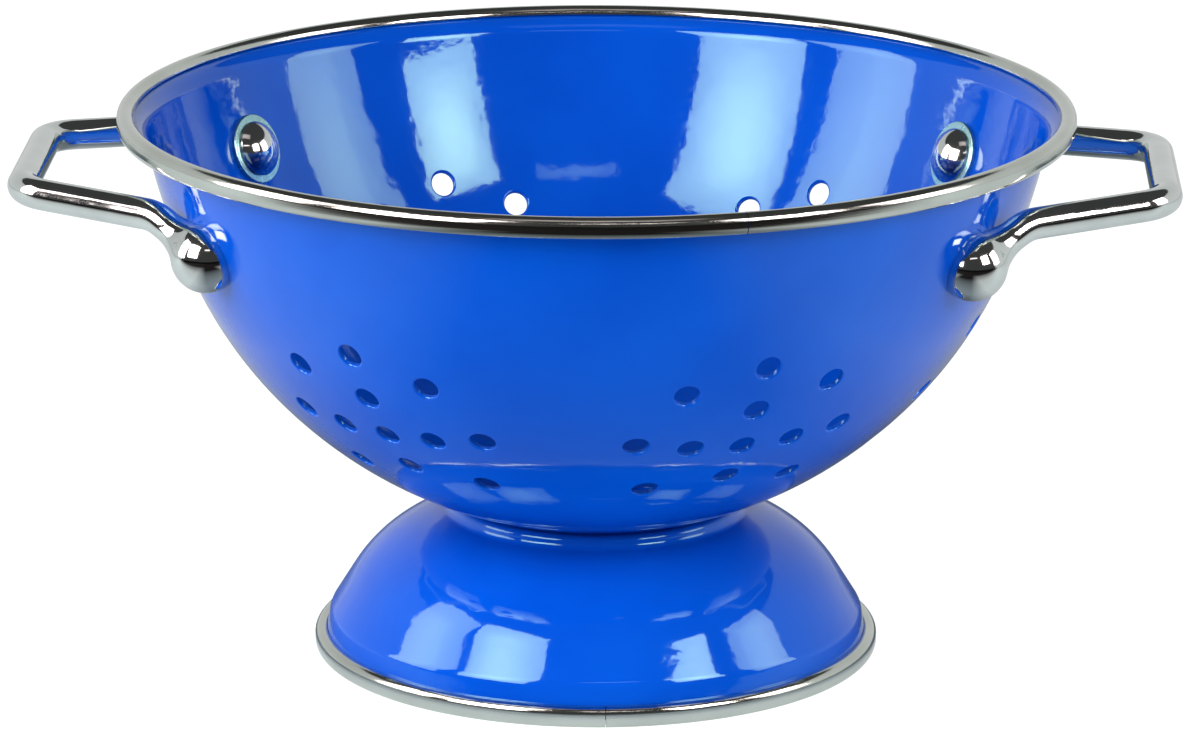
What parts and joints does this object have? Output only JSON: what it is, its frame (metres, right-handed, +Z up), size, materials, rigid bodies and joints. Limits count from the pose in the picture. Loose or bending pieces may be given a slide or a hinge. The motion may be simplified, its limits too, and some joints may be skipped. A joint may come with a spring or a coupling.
{
  "type": "colander",
  "caption": "Deep round enamelled colander with starred drain holes, bright trim bands, two riveted rod handles and a flared pedestal foot.",
  "frame": {"origin": "on the floor at the middle of the foot", "axes": "+Z up along the bowl's axis; the two handles lie along X; -Y is the front"},
  "size_m": [0.2306, 0.19, 0.1115],
  "materials": {
    "enamel": "deep blue vitreous enamel, very glossy, inside and out",
    "trim": "polished stainless strip with fine lengthwise drawing marks",
    "handle_plate": "mirror bright chrome plate",
    "fastener": "bright chrome plate"
  },
  "bodies": {
    "root": {"bowl": "enamel", "bowl_rim_band": "trim", "foot": "enamel", "foot_rim_band": "trim", "handle_left": "handle_plate", "handle_right": "handle_plate", "washer_right_back": "fastener", "washer_left_back": "fastener", "washer_left_front": "fastener", "washer_right_front": "fastener", "rivet_right_back": "fastener", "rivet_left_back": "fastener", "rivet_left_front": "fastener", "rivet_right_front": "fastener"}
  },
  "joints": []
}
